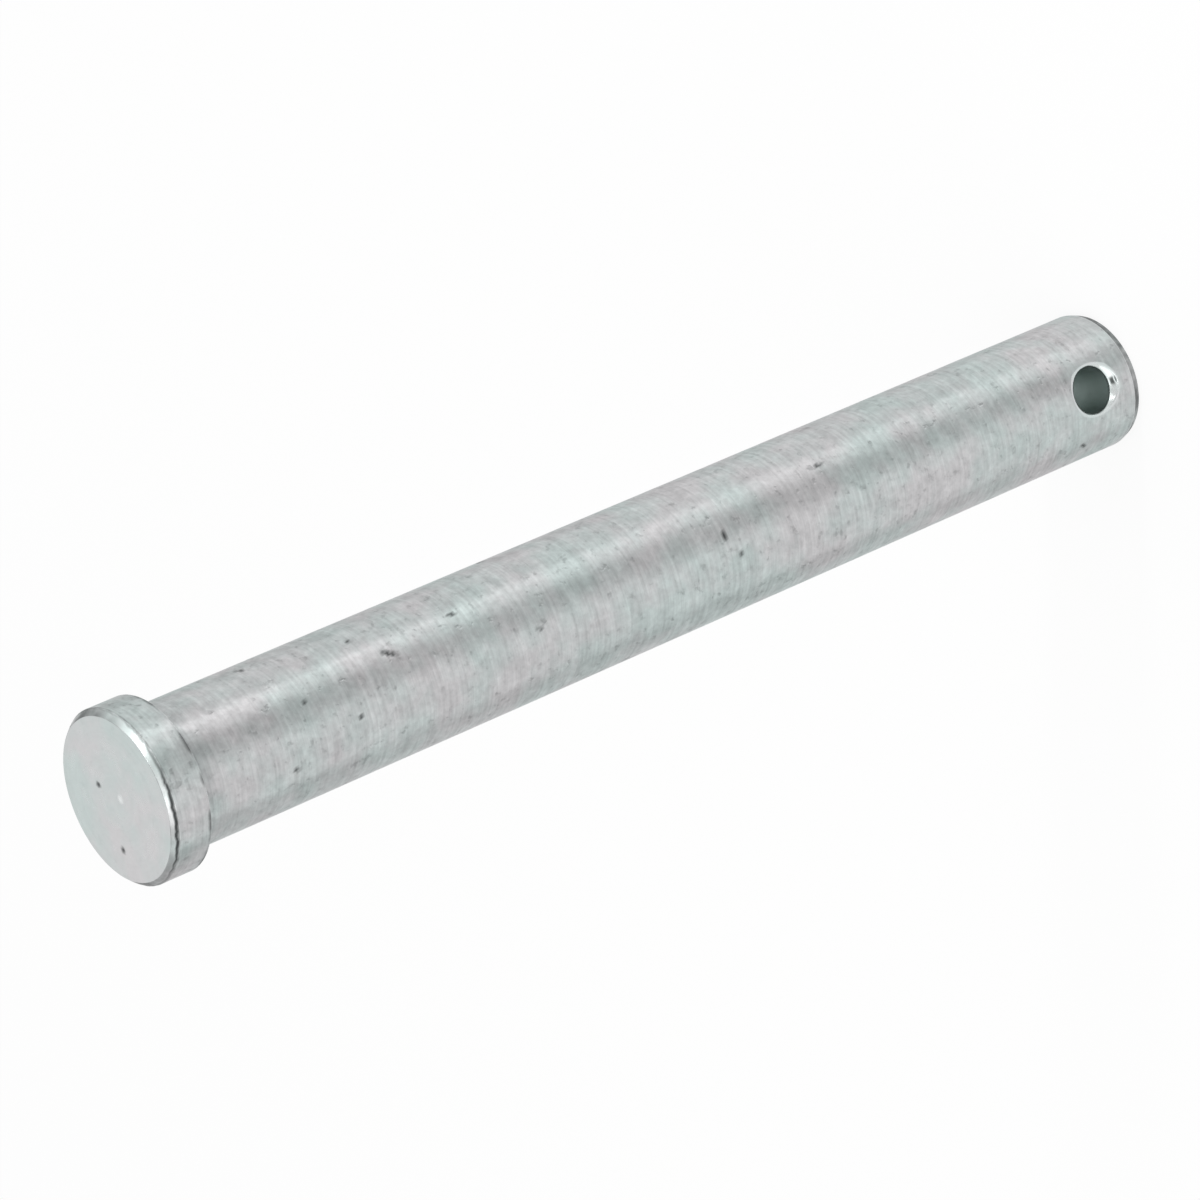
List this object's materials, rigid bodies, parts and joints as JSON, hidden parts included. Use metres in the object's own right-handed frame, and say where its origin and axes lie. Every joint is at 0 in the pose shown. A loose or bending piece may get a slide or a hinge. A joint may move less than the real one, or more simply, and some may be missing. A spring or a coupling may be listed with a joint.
{
  "type": "clevis pin",
  "caption": "Headed steel clevis pin: plain round shank with a low cylindrical head and a countersunk cross hole for a cotter near its tip.",
  "frame": {"origin": "centre of the head's underside, the shoulder plane where the pin seats on a clevis", "axes": "+Z along the pin's axis and out through the head, so the shank hangs towards -Z and the pin stands on its tip; Y along the cross hole"},
  "size_m": [0.0154, 0.0154, 0.1118],
  "materials": {
    "zinc_plated_steel": "satin clear zinc electroplate over turned steel, pale grey with faint blue-green and pink tints, fine lines round the shank and small dark pits"
  },
  "bodies": {
    "root": {"clevis_pin": "zinc_plated_steel"}
  },
  "joints": []
}
